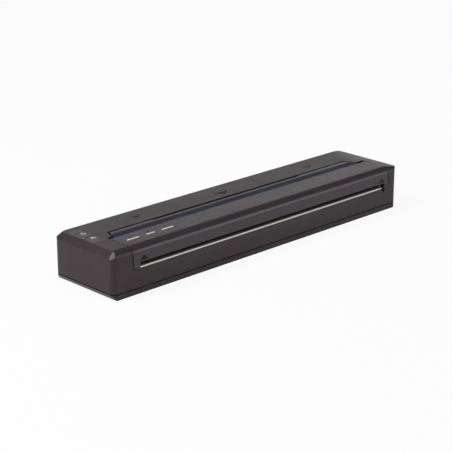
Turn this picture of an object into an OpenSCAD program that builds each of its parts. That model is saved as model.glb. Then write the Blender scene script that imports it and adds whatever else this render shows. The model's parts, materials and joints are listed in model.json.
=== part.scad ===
/* [Casing] */
// Length from end to end
body_l = 255; // [250:0.5:300]
// Depth from front to back
body_w = 55; // [54:0.5:64]
// Height of the casing without its feet
body_h = 30; // [30:0.5:36]
// Thickness of the moulded walls
wall = 1.8; // [1.5:0.1:2]
// Radius of the front vertical corner beside the keys
corner_key_r = 3.6; // [3:0.2:4]
// Radius of the front vertical corner beside the sockets
corner_socket_r = 5.5; // [4:0.25:6]
// Radius of the two rear vertical corners
corner_rear_r = 4.3; // [3.5:0.1:6]
// Radius of the long front top edge
edge_front_r = 5; // [3:0.5:5.5]
// Radius of the long rear top edge
edge_rear_r = 3.2; // [2.6:0.2:5]
// Width of the bevel along the top of the end with the keys
end_bevel_w = 3.5; // [2:0.25:4]
// Height of the bevel along the top of the end with the keys
end_bevel_h = 4; // [2.5:0.25:5]
// Width of the gentle slope along the top of the end with the sockets
end_slope_w = 10; // [6:0.5:10]
// Height of the gentle slope along the top of the end with the sockets
end_slope_h = 1.4; // [0.8:0.1:2]
// Height of the bottom shell below the groove
base_h = 3.4; // [3:0.1:4]
// Height of the groove between bottom shell and casing
groove_h = 0.7; // [0.4:0.1:1]
// How far the bottom shell draws in at its ends
base_bevel = 2.8; // [1:0.1:3.2]
// How far the bottom shell draws in at front and back
base_chamfer = 0.3; // [0.1:0.1:0.6]
// Diameter of a rubber foot
foot_d = 8; // [6:0.5:9]
// Height that the feet stand proud
foot_h = 0.8; // [0.5:0.1:1.5]

/* [Paper mouth and slot] */
// Width of the casing beside the paper mouth, on average of both ends
mouth_end = 17.5; // [17.5:0.5:20]
// How far the mouth's middle lies right of the casing's middle
mouth_off = 3.6; // [3:0.1:3.8]
// How far the middle of the platen and the print head lies right of the casing's middle
works_off = 1; // [0:0.25:1.5]
// Height of the cover's front edge below the top
mouth_drop = 10.3; // [10.1:0.1:10.5]
// Depth of the sloping ledge under the tear bar
ledge_d = 1.6; // [1:0.1:1.6]
// Height of the sloping ledge
ledge_h = 2.8; // [1.8:0.1:3]
// Height of the tear bar's bright front face
tear_h = 1.1; // [0.9:0.1:1.4]
// Thickness of the tear bar's steel
tear_t = 0.6; // [0.4:0.1:0.8]
// Gap between the cover's rear lip and the casing
slot_gap = 2.5; // [2.3:0.1:3]
// Length of the slot's wide middle
slot_wide_l = 130; // [90:1:180]
// How far the slot's wide middle lies left of the casing's middle
slot_wide_off = 5; // [0:1:12]
// How far the cover's rear lip reaches back beside the slot's wide middle
slot_lip_w = 1; // [0.6:0.1:1.1]

/* [Release cover] */
// Depth of the cover from the front to its rear lip
cover_d = 29.5; // [29:0.1:30]
// Width of the cover's left tab beside the mouth
tab_left_w = 5.1; // [5:0.1:5.4]
// Width of the cover's right tab beside the mouth
tab_right_w = 3.5; // [3.3:0.1:3.6]
// How far the tabs reach below the cover's front edge
tab_drop = 3.9; // [3:0.1:3.9]
// How far the cover is cut back at its two rear corners
ear_notch = 8.4; // [8.2:0.1:9]
// Running gap round the cover
cover_gap = 0.4; // [0.2:0.05:0.4]
// Hinge axis in front of the rear lip
hinge_back = 4.5; // [4.3:0.1:4.7]
// Hinge axis below the top
hinge_drop = 3.6; // [3.5:0.1:3.8]
// Radius of the hinge pins
hinge_pin_r = 0.8; // [0.6:0.05:0.9]
// Depth of the coloured guide strip from front to back
strip_d = 5.9; // [5:0.1:6.6]
// Thickness of the guide strip
strip_t = 0.6; // [0.4:0.1:0.8]
// Diameter of an indicator lens
lens_d = 1.1; // [0.8:0.1:1.6]

/* [Platen and gears] */
// Radius of the platen roller's rubber
platen_r = 4.5; // [4.2:0.1:4.6]
// How far the rubber stops short of the mouth's ends
platen_short = 3; // [3:0.5:8]
// Radius of the platen shaft
shaft_r = 2; // [1.4:0.1:2.2]
// Platen axis in front of the rear lip
platen_back = 10; // [9.8:0.1:10.2]
// Platen axis below the top
platen_drop = 7.3; // [7.2:0.1:7.5]
// Tooth size of the gear train
gear_module = 0.5; // [0.46:0.01:0.5]
// Pressure angle of the teeth
pressure_angle = 25; // [22:0.5:26]
// Teeth on the platen gear
platen_teeth = 18; // [18:1:18]
// Teeth on the idler gear
idler_teeth = 24; // [23:1:25]
// Teeth on the reduction gear's large wheel
wheel_teeth = 32; // [30:1:33]
// Teeth on the reduction gear's small wheel
small_teeth = 12; // [12:1:13]
// Teeth on the motor pinion
pinion_teeth = 12; // [12:1:13]
// Thickness of a gear
gear_t = 2.6; // [2:0.1:2.8]
// Radius of the stepper motor
motor_r = 9; // [7:0.25:9]
// Length of the stepper motor
motor_l = 18; // [12:0.5:20]

/* [Print head] */
// Angle of the contact line round the platen, from straight back
head_angle = -50; // [-52:1:-47]
// Thickness of the ceramic strip
ceramic_t = 0.8; // [0.6:0.1:1]
// Thickness of the head's heat sink
sink_t = 3; // [2.4:0.1:3.2]
// Head pivot behind the rear lip
pivot_back = 4; // [3.7:0.1:4.3]
// Head pivot below the top
pivot_drop = 6.2; // [6:0.1:6.3]
// Number of head springs
spring_count = 4; // [2:1:6]
// Outer radius of a head spring
spring_r = 2; // [1.5:0.1:2.2]
// Thickness of the spring wire
spring_wire = 0.5; // [0.3:0.05:0.7]

/* [Keys] */
// Width of a key from left to right
key_w = 8; // [6:0.25:8.5]
// Depth of a key from front to back
key_d = 8.6; // [7:0.2:9]
// Distance between the two keys' centres
key_pitch = 9.6; // [9.4:0.1:11]
// Centre of the front key behind the casing's middle
key_y = 0.9; // [0:0.1:1.5]
// Distance of the keys' centre from the left end
key_x = 9.3; // [9:0.1:9.6]
// Travel of a key
key_travel = 0.6; // [0.3:0.1:0.7]

/* [Power] */
// Diameter of the battery stick
battery_d = 18; // [16:0.25:18]
// Length beside the battery bay for the motor, its plate and the gears
battery_end = 51.5; // [50:0.5:80]
// Thickness of the circuit boards
board_t = 1.2; // [0.8:0.1:1.4]
// Radius of the hole for the power plug
jack_r = 2.8; // [2.5:0.1:3]
// Width of the data socket
data_w = 9; // [8:0.1:9.2]
// Height of the data socket
data_h = 3.2; // [2.8:0.1:3.4]

/* [Hidden] */
$fn = 48;
// Overrun of every cut, and the smallest clearances
cut = 1;
fit = 0.3;
running = 0.05;
seam = 0.1;
// Levels and faces of the casing
z_floor = foot_h;
z_part = z_floor + base_h;
z_case = z_part + groove_h;
z_top = z_floor + body_h;
z_in = z_floor + wall;
z_roof = z_top - wall;
x_left = -body_l / 2;
x_right = body_l / 2;
y_front = -body_w / 2;
y_rear = body_w / 2;
// Paper mouth and cover outline
mouth_l = body_l - 2 * mouth_end;
mouth_x0 = mouth_off - mouth_l / 2;
mouth_x1 = mouth_off + mouth_l / 2;
works_x0 = works_off - mouth_l / 2;
works_x1 = works_off + mouth_l / 2;
mouth_z = z_top - mouth_drop;
cover_x0 = mouth_x0 - tab_left_w;
cover_x1 = mouth_x1 + tab_right_w;
tab_z = mouth_z - tab_drop;
tab_r = 1.6;
tab_right_r = 3;
lip_y = y_front + cover_d;
slot_y = lip_y + slot_gap;
notch_y = lip_y - ear_notch;
ear_clear = 1.1;
notch_edge_y = lip_y - hinge_back - ear_clear;
wing = 3;
wing_room = 0.2;
wing_in = 4;
wing_right_in = 7.8;
wide_x0 = -slot_wide_off - slot_wide_l / 2;
wide_x1 = -slot_wide_off + slot_wide_l / 2;
// Tear bar and ledge
mouth_open = 3.35;
tear_z1 = mouth_z - mouth_open;
tear_z0 = tear_z1 - tear_h;
tear_d = 4.5;
ledge_z = tear_z0 - ledge_h;
sill_d = 5;
sill_h = 4.6;
// Hinge, platen and gear centres, each as [y, z]
hinge_at = [lip_y - hinge_back, z_top - hinge_drop];
platen_at = [lip_y - platen_back, z_top - platen_drop];
function polar(r, a) = [r * cos(a), r * sin(a)];
function bearing(from, to) = atan2(to[1] - from[1], to[0] - from[0]);
function pitch_r(n) = gear_module * n / 2;
hinge_reach = norm(hinge_at - platen_at);
mesh_angle = bearing(platen_at, hinge_at) - acos(pitch_r(platen_teeth) / hinge_reach);
idler_at = platen_at + polar(pitch_r(platen_teeth + idler_teeth), mesh_angle);
reduction_angle = -72;
reduction_at = idler_at + polar(pitch_r(idler_teeth + small_teeth), reduction_angle);
motor_angle = 8;
motor_at = reduction_at + polar(pitch_r(wheel_teeth + pinion_teeth), motor_angle);
// Turning each gear so that its teeth fall in the other's gaps
function mesh_turn(turn, n, m, a) = a + 180 + (0.5 - (turn - a) * n / 360) * 360 / m;
platen_turn = 0;
idler_turn = mesh_turn(platen_turn, platen_teeth, idler_teeth, mesh_angle);
small_turn = mesh_turn(idler_turn, idler_teeth, small_teeth, reduction_angle);
wheel_turn = small_turn;
pinion_turn = mesh_turn(wheel_turn, wheel_teeth, pinion_teeth, motor_angle);
backlash = 0.06;
flank_steps = 5;
tip_share = 1;
root_share = 1.25;
// Planes along the length at the right end
plate_t = 1;
plate_in = 1.4;
plate_x1 = works_x1 - plate_in;
plate_x0 = plate_x1 - plate_t;
plate_out = 0.4;
left_plate_x0 = works_x0 - plate_out;
left_plate_x1 = left_plate_x0 + plate_t;
cheek_t = 1.6;
left_cheek_x1 = left_plate_x0 - fit;
cheek_x0 = plate_x1 + fit;
cheek_x1 = cheek_x0 + cheek_t;
gear_x0 = cheek_x1 + fit;
gear_x1 = gear_x0 + gear_t;
clip_room = 1;
wheel_x0 = gear_x1 + clip_room;
wheel_x1 = wheel_x0 + gear_t;
clip_t = 0.5;
clip_r = 1.8;
axle_r = 1;
hub_r = 2;
// Platen pieces
platen_mid = (left_plate_x1 + plate_x0) / 2;
platen_l = mouth_l - 2 * platen_short;
platen_x0 = platen_mid - platen_l / 2;
platen_x1 = platen_mid + platen_l / 2;
bush_r = 3;
cheek_r = 4.4;
ear_r = 1.5;
arm_half = 1.1;
ear_wall = 1.5;
// Chassis
pad_h = 2;
chassis_z0 = z_in + pad_h;
chassis_z1 = chassis_z0 + plate_t;
chassis_front = 8;
chassis_y0 = y_front + chassis_front;
pivot_at = [lip_y + pivot_back, z_top - pivot_drop];
web_in = 1.9;
chassis_y1 = pivot_at[0] - web_in;
side_h = 12;
side_z = z_floor + side_h;
platen_clear = 5.4;
// Print head
nip_gap = 0.1;
head_out = polar(1, head_angle);
head_along = polar(1, head_angle + 90);
contact = platen_at + (platen_r + nip_gap) * head_out;
head_low = 3.2;
head_high = 7.5;
pivot_r = 1.5;
pivot_pin_r = 0.8;
pivot_depth = 6;
driver_t = 0.7;
driver_from = 3.2;
driver_to = 5.8;
strip_inset = 1;
spring_drop = 16.8;
spring_z1 = z_top - spring_drop;
spring_y = (contact + (ceramic_t + sink_t) * head_out)[0];
spring_in = 39;
spring_span = platen_l - 2 * spring_in;
boss_h = 5;
// Battery bay and door
bay_t = 0.8;
bay_slack = 5;
bay_end = 35.5;
bay_x0 = x_left + bay_end;
bay_x1 = x_right - battery_end;
battery_l = bay_x1 - bay_x0 - bay_slack;
bay_y0 = chassis_y1 + fit;
bay_in_y0 = bay_y0 + bay_t;
bay_y1 = y_rear - wall - fit;
bay_in_y1 = bay_y1 - bay_t;
battery_lift = 0.4;
bay_roof = 1.1;
bay_z1 = z_in + battery_lift + battery_d + bay_roof;
door_t = wall;
door_axis_r = door_t / 2;
door_y0 = bay_in_y0 + fit + door_axis_r;
door_y1 = bay_in_y1 - fit;
door_z = z_floor + door_axis_r;
door_x0 = bay_x0 + bay_t + fit;
door_x1 = bay_x1 - bay_t - fit;
door_pin_r = 0.4;
door_pin_l = 6;
grip_w = 14;
grip_d = 1.6;
cap_l = 3;
// Main board
board_left = 24;
board_right = 44;
board_back = 1.3;
board_x0 = x_left + board_left;
board_x1 = x_right - board_right;
board_y0 = pivot_at[0] + pivot_r + fit;
board_y1 = y_rear - wall - board_back;
board_z1 = bay_z1 + board_t;
// Keys
panel_t = 0.6;
panel_w = 10.6;
panel_front = 5.9;
panel_y0 = key_y - panel_front;
panel_d = 25;
key_gap = 0.25;
key_r = 1.2;
stem_r = 1.4;
key_cx = x_left + key_x;
power_y = key_y + key_pitch;
switch_h = 1.6;
switch_w = 4.4;
key_board_drop = 7.6;
key_board_z = z_top - key_board_drop;
plunger_r = 1.1;
stem_z = key_board_z + board_t + switch_h + key_travel + seam;
panel_cx = key_cx;
key_post_r = 1.2;
key_post_in = 1.9;
stake_r = 0.6;
stake_l = 0.5;
key_post_y = [key_y - key_d / 2 - key_post_in, power_y + key_d / 2 + key_post_in];
// Sockets at the right end
port_lift = 5.4;
port_in = 17;
port_front = 4.4;
port_z = z_floor + port_lift;
port_x0 = x_right - port_in;
port_y0 = y_front + port_front;
port_w = 18;
port_set = 1;
jack_w = 8;
jack_h = 8.4;
jack_l = 12;
jack_y = port_y0 + port_w - jack_w / 2;
jack_pin_r = 0.9;
data_y = port_y0 + data_w / 2 + fit;
data_l = 7.3;
data_shell = 0.4;
data_tongue_t = 0.7;
port_z1 = port_z + board_t;
// Fasteners and feet
screw_r = 1;
head_r = 1.9;
head_t = 1.2;
post_r = 2.6;
pilot_r = 0.8;
rear_post_in = [6.2, 6.5];
front_post = [23.5, 4.9];
foot_in = [11.5, 7.6];
rear_foot_in = [15.5, 8];
foot_sink = 0.6;
pad_screw_end = 13.5;
pad_screw_in = 3.2;
pad_screw_y = [chassis_y0 + pad_screw_in, chassis_y1 - pad_screw_in];
// Indicator lenses, from the mouth's left end
lens_x = [5.8, 19.5, 32.3];
lens_back = 14.1;
lens_board_drop = 3.8;
lens_y = lip_y - lens_back;
lens_board_z = z_top - lens_board_drop;

// Plain solids and extrusions along each axis
module box(lo, hi) {
    translate(lo) cube(hi - lo);
}

module along_x(x0, x1) {
    translate([x0, 0, 0]) rotate([90, 0, 90]) linear_extrude(x1 - x0) children();
}

module along_y(y0, y1) {
    translate([0, y1, 0]) rotate([90, 0, 0]) linear_extrude(y1 - y0) children();
}

module along_z(z0, z1) {
    translate([0, 0, z0]) linear_extrude(z1 - z0) children();
}

module rod(r, x0, x1, at) {
    translate([x0, at[0], at[1]]) rotate([0, 90, 0]) cylinder(r = r, h = x1 - x0);
}

module post(r, z0, z1, x, y) {
    translate([x, y, z0]) cylinder(r = r, h = z1 - z0);
}

// Waste outside one rounded corner of a flat outline
module corner_waste(x, y, dx, dy, r) {
    translate([x, y]) difference() {
        translate([dx * (r - cut) / 2, dy * (r - cut) / 2]) square(r + cut, center = true);
        translate([dx * r, dy * r]) circle(r);
    }
}

// Rectangle with its own radius at each corner, from the lower left one round
module round_rect(x0, x1, y0, y1, r) {
    difference() {
        translate([x0, y0]) square([x1 - x0, y1 - y0]);
        if (r[0] > 0) corner_waste(x0, y0, 1, 1, r[0]);
        if (r[1] > 0) corner_waste(x1, y0, -1, 1, r[1]);
        if (r[2] > 0) corner_waste(x1, y1, -1, -1, r[2]);
        if (r[3] > 0) corner_waste(x0, y1, 1, -1, r[3]);
    }
}

// Outer form of the printer, drawn in by an inset on every side
module envelope(inset, z0) {
    intersection() {
        plan_band(inset, z0, z_top - inset);
        along_x(x_left, x_right)
            round_rect(y_front + inset, y_rear - inset, z0 - cut, z_top - inset,
                [0, 0, edge_rear_r - inset, edge_front_r - inset]);
        along_y(y_front, y_rear) end_outline(inset, z0);
    }
}

module end_outline(inset, z0) {
    polygon([[x_left + inset, z0 - cut], [x_right - inset, z0 - cut],
        [x_right - inset, z_top - end_slope_h - inset],
        [x_right - end_slope_w - inset / 2, z_top - inset / 2], [x_right - end_slope_w - inset / 2, z_top],
        [x_left + end_bevel_w + inset / 2, z_top], [x_left + end_bevel_w + inset / 2, z_top - inset / 2],
        [x_left + inset, z_top - end_bevel_h]]);
}

// Outer form with a facet on each upper corner of the end with the keys
module casing_form(inset, z0) {
    difference() {
        envelope(inset, z0);
        corner_facet(inset, front_facet_tilt, front_facet_turn, y_front + front_facet_in);
        corner_facet(inset, rear_facet_tilt, rear_facet_turn, y_rear - rear_facet_in);
    }
}

// Waste outside one facet, which starts on the top, at the bevel's upper edge
module corner_facet(inset, tilt, turn, y) {
    translate([x_left + end_bevel_w, y, z_top]) rotate([0, -tilt, turn])
        box([-inset, -facet_reach, -facet_reach], [facet_reach, facet_reach, facet_reach]);
}

front_facet_tilt = 40;
rear_facet_tilt = 47;
facet_reach = 20;
front_facet_turn = -162;
front_facet_in = 3.75;
rear_facet_turn = 114;
rear_facet_in = 3.7;

module plan_band(inset, z0, z1) {
    rear_r = corner_rear_r - inset;
    along_z(z0, z1)
        round_rect(x_left + inset, x_right - inset, y_front + inset, y_rear - inset,
            [corner_key_r - inset, corner_socket_r - inset, rear_r, rear_r]);
}

// Places that the shells, posts, screws and feet share
function post_places() = [
    [x_left + rear_post_in[0], y_rear - rear_post_in[1]],
    [x_right - rear_post_in[0], y_rear - rear_post_in[1]],
    [x_left + front_post[0], y_front + front_post[1]],
    [x_right - front_post[0], y_front + front_post[1]]];
function foot_places() = [
    [x_left + foot_in[0], y_front + foot_in[1]],
    [x_right - foot_in[0], y_front + foot_in[1]],
    [x_left + rear_foot_in[0], y_rear - rear_foot_in[1]],
    [x_right - rear_foot_in[0], y_rear - rear_foot_in[1]]];
function pad_places() = [for (x = [left_plate_x1 + pad_screw_end, platen_mid, plate_x0 - pad_screw_end])
    for (y = pad_screw_y) [x, y]];

// Casing shells
casing_tint = [0.17, 0.155, 0.165];
dark_tint = [0.1, 0.1, 0.11];
steel_tint = [0.72, 0.72, 0.73];
brass_tint = [0.75, 0.6, 0.3];
acetal_tint = [0.88, 0.88, 0.85];
board_tint = [0.1, 0.35, 0.2];
lip_in = wall / 2 + seam;
lip_t = 0.9;
lip_rise = 2;

module bottom_shell() color(casing_tint) difference() {
    union() {
        difference() {
            union() {
                base_body();
                plan_band(lip_in, z_part - seam, z_case + lip_rise);
            }
            base_cavity();
        }
        for (p = post_places()) post(post_r, z_in - seam, z_case + lip_rise, p[0], p[1]);
        for (p = pad_places()) post(post_r, z_in - seam, chassis_z0, p[0], p[1]);
        for (x = [port_x0 + post_r, x_right - wall - post_r - fit])
            for (y = [port_y0 + post_r, port_y0 + port_w - post_r])
                post(post_r, z_in - seam, port_z, x, y);
    }
    for (p = post_places()) {
        post(screw_r + seam, z_floor - cut, z_case + lip_rise + cut, p[0], p[1]);
        post(head_r + seam, z_floor - cut, z_floor + head_t, p[0], p[1]);
    }
    for (p = pad_places()) post(pilot_r, z_in, chassis_z0 + cut, p[0], p[1]);
    for (p = foot_places()) post(foot_d / 2 + seam, z_floor - cut, z_floor + foot_sink, p[0], p[1]);
    box([door_x0 - fit, door_y0 - door_axis_r - fit, z_floor - cut],
        [door_x1 + fit, door_y1 + fit, z_in + cut]);
    rod(door_pin_r, door_x0 - fit - door_pin_l / 2, door_x0, [door_y0, door_z]);
    rod(door_pin_r, door_x1, door_x1 + fit + door_pin_l / 2, [door_y0, door_z]);
}

// The lower shell's outside, drawn in at its foot
module base_body() {
    intersection() {
        plan_band(0, z_floor, z_part);
        along_y(y_front, y_rear)
            polygon([[x_left + base_bevel, z_floor], [x_right - base_bevel, z_floor], [x_right, z_part],
                [x_left, z_part]]);
        along_x(x_left, x_right)
            polygon([[y_front + base_chamfer, z_floor], [y_rear - base_chamfer, z_floor], [y_rear, z_part],
                [y_front, z_part]]);
    }
}

// The lower shell's inside, which keeps clear of the drawn-in ends
module base_cavity() {
    z1 = z_case + lip_rise + cut;
    intersection() {
        plan_band(lip_in + lip_t, z_in, z1);
        along_y(y_front, y_rear)
            polygon([[x_left + base_bevel + wall, z_floor], [x_right - base_bevel - wall, z_floor],
                [x_right - wall, z_part], [x_right, z1], [x_left, z1], [x_left + wall, z_part]]);
    }
}

module upper_casing() color(casing_tint) difference() {
    union() {
        difference() {
            casing_form(0, z_case);
            casing_form(wall, z_case - cut);
            plan_band(wall / 2, z_case - cut, z_case + lip_rise + seam);
            cover_zone(cover_gap);
        }
        sill();
        casing_posts();
    }
    ledge_cut();
    key_openings();
    socket_openings();
    for (p = post_places()) post(pilot_r, z_case + lip_rise, z_case + lip_rise + pilot_depth, p[0], p[1]);
}

pilot_depth = 7;

// Bar behind the front wall that carries the tear bar
module sill() {
    box([mouth_x0, y_front + wall - seam, tear_z0 - sill_h],
        [mouth_x1, y_front + sill_d, tear_z0]);
}

module ledge_cut() {
    along_x(mouth_x0, mouth_x1)
        polygon([[y_front - cut, ledge_z], [y_front, ledge_z], [y_front + ledge_d, tear_z0],
            [y_front + sill_d + cut, tear_z0], [y_front + sill_d + cut, mouth_z + cut],
            [y_front - cut, mouth_z + cut]]);
}

module casing_posts() {
    for (p = post_places()) {
        top = p[1] < 0 ? tear_z0 - sill_h + seam : z_roof + seam;
        post(post_r, z_case + lip_rise + seam, top, p[0], p[1]);
    }
    for (y = key_post_y) {
        post(key_post_r, key_board_z + board_t, z_roof + seam, key_cx, y);
        post(stake_r, key_board_z - stake_l, key_board_z + board_t + seam, key_cx, y);
    }
}

// Space that the release cover fills, in plan and from the front, with a gap round it
module cover_zone(gap) {
    intersection() {
        along_z(z_floor, z_top + cut) cover_plan(gap);
        along_y(y_front - cut, slot_y + cut) cover_front(gap);
    }
}

module cover_plan(gap) {
    back_y = gap > 0 ? slot_y : lip_y + slot_lip_w;
    wide_y = gap > 0 ? slot_y : lip_y;
    side_y = gap > 0 ? notch_edge_y : notch_y;
    room = gap > 0 ? gap + wing_room : 0;
    wing_x0 = cover_x0 + wing_in - room;
    wing_x1 = cover_x1 - wing_right_in + room;
    polygon([[cover_x0 - gap, y_front - cut], [cover_x1 + gap, y_front - cut], [cover_x1 + gap, side_y],
        [wing_x1, side_y], [wing_x1 - wing, back_y], [wide_x1, back_y], [wide_x1, wide_y],
        [wide_x0, wide_y], [wide_x0, back_y], [wing_x0 + wing, back_y], [wing_x0, side_y],
        [cover_x0 - gap, side_y]]);
}

module cover_front(gap) {
    left_r = tab_r + gap;
    right_r = tab_right_r + gap;
    translate([cover_x0 - gap, mouth_z]) square([cover_x1 - cover_x0 + 2 * gap, z_top - mouth_z + cut]);
    round_rect(cover_x0 - gap, mouth_x0, tab_z - gap, mouth_z + cut, [left_r, 0, 0, 0]);
    round_rect(mouth_x1, cover_x1 + gap, tab_z - gap, mouth_z + cut, [0, right_r, 0, 0]);
}

module release_cover() color(casing_tint) difference() {
    union() {
        intersection() {
            difference() {
                envelope(0, z_case);
                envelope(wall, z_case - cut);
            }
            cover_zone(0);
        }
        intersection() {
            union() {
                along_x(cover_x0, left_cheek_x1) cheek_outline();
                along_x(cheek_x0, cheek_x1) cheek_outline();
                along_x(cover_x1 - ear_wall, cover_x1) end_wall_outline();
            }
            envelope(wall / 2, z_case);
        }
    }
    strip_pocket(0);
    lip_chamfer(lip_y, wide_x0, wide_x1);
    lip_chamfer(lip_y + slot_lip_w, cover_x0, wide_x0);
    lip_chamfer(lip_y + slot_lip_w, wide_x1, cover_x1);
    rod(bush_r, cover_x0 - cut, cheek_x1 + seam, platen_at);
    rod(hinge_pin_r + running, cover_x0 - cut, cheek_x1 + seam, hinge_at);
    for (x = lens_x) post(lens_d / 2 + seam / 2, z_roof - cut, z_top + cut, mouth_x0 + x, lens_y);
}

// Chamfer under the rear lip, where the paper goes in
module lip_chamfer(y, x0, x1) {
    along_x(x0, x1)
        polygon([[y - lip_cut - cut, z_roof - cut], [y + cut, z_roof - cut], [y + cut, z_roof + lip_cut + cut],
            [y, z_roof + lip_cut], [y - lip_cut, z_roof]]);
}

lip_cut = 1;

// Side cheek of the cover, with the platen's bearing and the hinge ear
module cheek_outline() {
    toward = (platen_at - hinge_at) / hinge_reach;
    across = [-toward[1], toward[0]];
    translate(platen_at) circle(cheek_r);
    translate(hinge_at) circle(ear_r);
    polygon([hinge_at + arm_half * across, hinge_at - arm_half * across,
        platen_at - cheek_r / 2 * across, platen_at + cheek_r / 2 * across]);
    polygon([[y_front + wall - seam, tab_z + tab_r], [y_front + wall + tab_foot, tab_z + tab_r],
        [platen_at[0], platen_at[1] - cheek_r], [platen_at[0], z_roof + seam],
        [y_front + wall - seam, z_roof + seam]]);
    polygon([[platen_at[0], z_roof + seam], [platen_at[0], platen_at[1]],
        platen_at + polar(cheek_r, cheek_angle), [notch_y - ear_wall / 2, z_roof],
        [notch_y - ear_wall / 2, z_roof + seam]]);
}

tab_foot = 2.4;
cheek_angle = 58;
end_wall_d = 4;

// Outer wall of the cover beside the platen gear
module end_wall_outline() {
    z0 = tab_z + tab_right_r;
    polygon([[y_front + wall - seam, z0], [y_front + wall + end_wall_d, z0],
        [y_front + wall + end_wall_d, mouth_z], [notch_y, platen_at[1]], [notch_y, z_roof + seam],
        [y_front + wall - seam, z_roof + seam]]);
}

// Guide strip let into the cover in front of the lip
module strip_pocket(gap) {
    y0 = lip_y - strip_lip - strip_d + gap;
    y1 = lip_y - strip_lip - gap;
    mid = max(notch_y, y0 + seam);
    along_z(z_top - strip_t, z_top + (gap > 0 ? 0 : cut))
        polygon([[strip_x0(y0) + gap, y0], [strip_x1(y0) - gap, y0], [strip_x1(mid) - gap, mid],
            [strip_x1(y1) - gap, y1], [strip_x0(y1) + gap, y1], [strip_x0(mid) + gap, mid]]);
}

// The strip's slanting ends, parallel to the cover's rear corners
function slant_at(y) = wing * max(0, (y - notch_y) / (lip_y + slot_lip_w - notch_y));
function strip_x0(y) = cover_x0 + wing_in + strip_side + slant_at(y);
function strip_x1(y) = cover_x1 - wing_right_in - strip_side - slant_at(y);

strip_lip = 2.3;
strip_side = 0.4;

module guide_strip() color([0.15, 0.17, 0.24]) strip_pocket(running);

// Ribbed frame inside the cover that guides the paper to the mouth
frame_rib_count = 9;
frame_rib_t = 1.2;
frame_plate_t = 1.2;

module cover_frame() color(dark_tint) difference() {
    x0 = left_cheek_x1 + seam;
    x1 = cheek_x0 - seam;
    y0 = y_front + wall + seam;
    y1 = platen_at[0] - platen_r - fit;
    union() {
        along_x(x0, x1)
            polygon([[y0, mouth_z], [y1 - frame_plate_t, mouth_z], [y1, mouth_z + frame_plate_t],
                [y0, mouth_z + frame_plate_t]]);
        for (i = [0:frame_rib_count - 1]) {
            x = x0 + i * (x1 - x0 - frame_rib_t) / (frame_rib_count - 1);
            box([x, y0 + edge_front_r - wall, mouth_z], [x + frame_rib_t, y1 - frame_rib_t, z_roof]);
        }
    }
    lens_board_space(seam);
}

module lens_board_space(gap) {
    box([mouth_x0 + lens_x[0] - lens_edge - gap, lens_y - lens_board_d + lens_rear - gap, lens_board_z - gap],
        [mouth_x0 + lens_x[2] + lens_edge + gap, lens_y + lens_rear + gap, z_roof + gap]);
}

lens_edge = 4;
lens_board_d = 7;
lens_rear = 0.4;
lens_chip = 0.8;

module indicator_board() color(board_tint) {
    box([mouth_x0 + lens_x[0] - lens_edge, lens_y - lens_board_d + lens_rear, lens_board_z],
        [mouth_x0 + lens_x[2] + lens_edge, lens_y + lens_rear, lens_board_z + board_t]);
    for (x = lens_x)
        box([mouth_x0 + x - lens_chip / 2, lens_y - lens_chip / 2, lens_board_z + board_t],
            [mouth_x0 + x + lens_chip / 2, lens_y + lens_rear, lens_board_z + board_t + lens_chip / 2]);
}

module indicator_lenses() color([0.75, 0.75, 0.72]) {
    for (x = lens_x)
        post(lens_d / 2, lens_board_z + board_t + lens_chip / 2 + running, z_top, mouth_x0 + x, lens_y);
}

// Platen pieces
module platen_roller() color(dark_tint) difference() {
    rod(platen_r, platen_x0, platen_x1, platen_at);
    rod(shaft_r, platen_x0 - cut, platen_x1 + cut, platen_at);
}

module platen_shaft() color(steel_tint) rod(shaft_r, cover_x0 + fit, gear_x1 + seam, platen_at);

module platen_gear() color(acetal_tint)
    spur_gear(platen_teeth, platen_turn, platen_at, gear_x0, gear_x1, shaft_r);

module platen_bushes() color(brass_tint) difference() {
    union() {
        rod(bush_r, cover_x0 + seam, left_cheek_x1, platen_at);
        rod(bush_r, cheek_x0, cheek_x1, platen_at);
    }
    rod(shaft_r + running, cover_x0 - cut, cheek_x1 + cut, platen_at);
}

module hinge_pins() color(steel_tint) {
    rod(hinge_pin_r, cover_x0 + seam, left_plate_x1, hinge_at);
    rod(hinge_pin_r, plate_x0, cheek_x1, hinge_at);
}

// Involute spur gear, its teeth turned to mesh at rest
function involute(base, roll) = [base * (cos(roll) + roll * PI / 180 * sin(roll)),
    base * (sin(roll) - roll * PI / 180 * cos(roll))];
function tooth_points(n) =
    let (pitch = pitch_r(n), base = pitch * cos(pressure_angle), tip = pitch + tip_share * gear_module,
        root = pitch - root_share * gear_module,
        lean = tan(pressure_angle) * 180 / PI - pressure_angle,
        half = 90 / n - backlash / 2 / pitch * 180 / PI + lean,
        roll_end = sqrt(pow(tip / base, 2) - 1) * 180 / PI,
        roll_start = root > base ? sqrt(pow(root / base, 2) - 1) * 180 / PI : 0,
        flank = [for (i = [0:flank_steps])
            involute(base, roll_start + (roll_end - roll_start) * i / flank_steps)],
        right = [for (p = flank) [p[0] * cos(half) + p[1] * sin(half), p[1] * cos(half) - p[0] * sin(half)]],
        left = [for (i = [flank_steps:-1:0]) [right[i][0], -right[i][1]]])
    concat([polar(root, -half)], right, left, [polar(root, half)]);

module gear_outline(n, turn) {
    tooth = tooth_points(n);
    polygon([for (k = [0:n - 1], p = tooth)
        let (a = turn + 360 * k / n) [p[0] * cos(a) - p[1] * sin(a), p[0] * sin(a) + p[1] * cos(a)]]);
}

module spur_gear(n, turn, at, x0, x1, bore) {
    along_x(x0, x1) translate(at) difference() {
        gear_outline(n, turn);
        circle(bore);
    }
}

module hub(x0, x1, at, r, bore) {
    along_x(x0, x1) translate(at) difference() {
        circle(r);
        circle(bore);
    }
}

module idler_gear() color(acetal_tint) {
    bore = axle_r + running;
    spur_gear(idler_teeth, idler_turn, idler_at, gear_x0, gear_x1, bore);
    hub(plate_x1 + fit, gear_x0, idler_at, hub_r, bore);
}

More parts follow.
